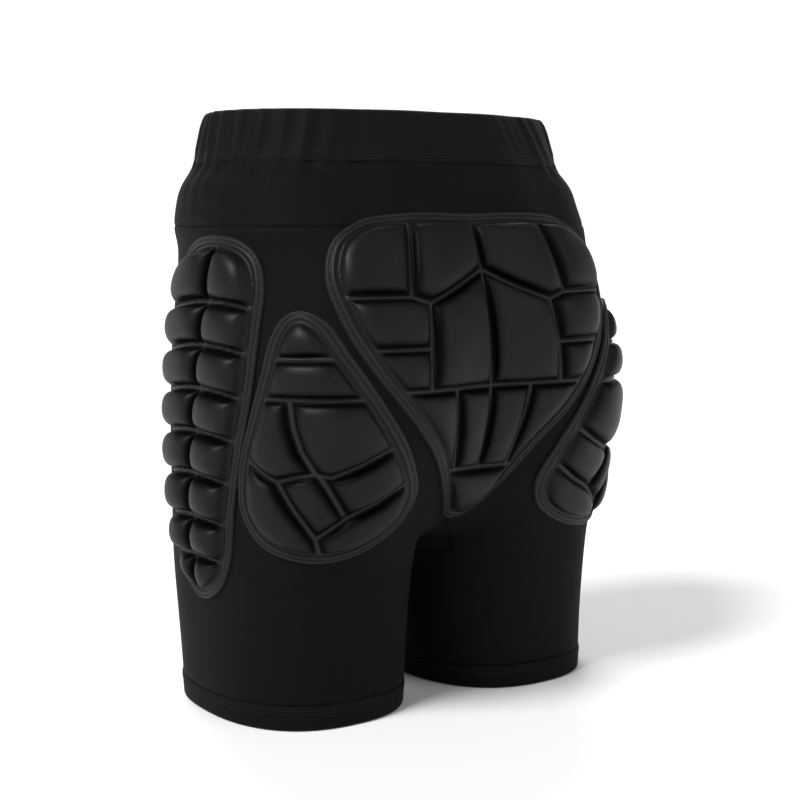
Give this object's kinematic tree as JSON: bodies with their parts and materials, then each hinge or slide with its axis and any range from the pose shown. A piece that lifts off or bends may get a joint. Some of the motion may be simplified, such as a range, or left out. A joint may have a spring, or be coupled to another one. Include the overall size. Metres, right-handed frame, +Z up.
{
  "type": "padded impact shorts",
  "caption": "Stretch undershorts for snow sports with quilted foam pads on hips, thighs and seat, mesh vents and a hook-and-loop waist tab.",
  "frame": {"origin": "on the plane of the two leg hems, centred between the legs", "axes": "+Z up to the waist, -Y towards the front closure, +X towards the wearer's left"},
  "size_m": [0.3604, 0.2701, 0.44],
  "materials": {
    "stretch_fabric": "matte",
    "mesh_fabric": "matte",
    "pad_cover": "satin",
    "edge_binding": "satin",
    "hook_loop": "matte",
    "elastic": "matte"
  },
  "bodies": {
    "shorts": {"waistband_casing": "stretch_fabric", "waist_elastic": "elastic", "waist_loop_patch": "hook_loop", "waist_yoke": "stretch_fabric", "fly_underlap": "stretch_fabric", "front_left_panel": "stretch_fabric", "front_pouch": "stretch_fabric", "crotch_gusset": "stretch_fabric", "left_front_mesh": "mesh_fabric", "right_front_mesh": "mesh_fabric", "left_hip_panel": "stretch_fabric", "right_hip_panel": "stretch_fabric", "left_inner_thigh_mesh": "mesh_fabric", "right_inner_thigh_mesh": "mesh_fabric", "left_thigh_sleeve": "stretch_fabric", "right_thigh_sleeve": "stretch_fabric", "left_hem_band": "stretch_fabric", "right_hem_band": "stretch_fabric", "left_hip_pad_backing": "stretch_fabric", "right_hip_pad_backing": "stretch_fabric", "left_hip_pad_foam": "pad_cover", "right_hip_pad_foam": "pad_cover", "left_hip_pad_binding": "edge_binding", "right_hip_pad_binding": "edge_binding", "left_thigh_pad_backing": "stretch_fabric", "right_thigh_pad_backing": "stretch_fabric", "left_thigh_pad_foam": "pad_cover", "right_thigh_pad_foam": "pad_cover", "left_thigh_pad_binding": "edge_binding", "right_thigh_pad_binding": "edge_binding", "seat_pad_backing": "stretch_fabric", "seat_pad_foam": "pad_cover", "seat_pad_binding": "edge_binding"},
    "fly_flap": {"fly_flap": "stretch_fabric"},
    "waist_tab": {"waist_tab": "stretch_fabric", "waist_hook_patch": "hook_loop"}
  },
  "joints": [
    {"name": "waist_tab_peel", "type": "hinge", "parent": "shorts", "child": "waist_tab", "pos_m": [0.02815, -0.1174, 0.42125], "axis": [0, 0.271, 0.9626], "range_deg": [0, 110]},
    {"name": "fly_flap_open", "type": "hinge", "parent": "shorts", "child": "fly_flap", "pos_m": [0.0203, -0.1289, 0.34], "axis": [0, 0.0914, 0.9958], "range_deg": [0, 60]}
  ]
}
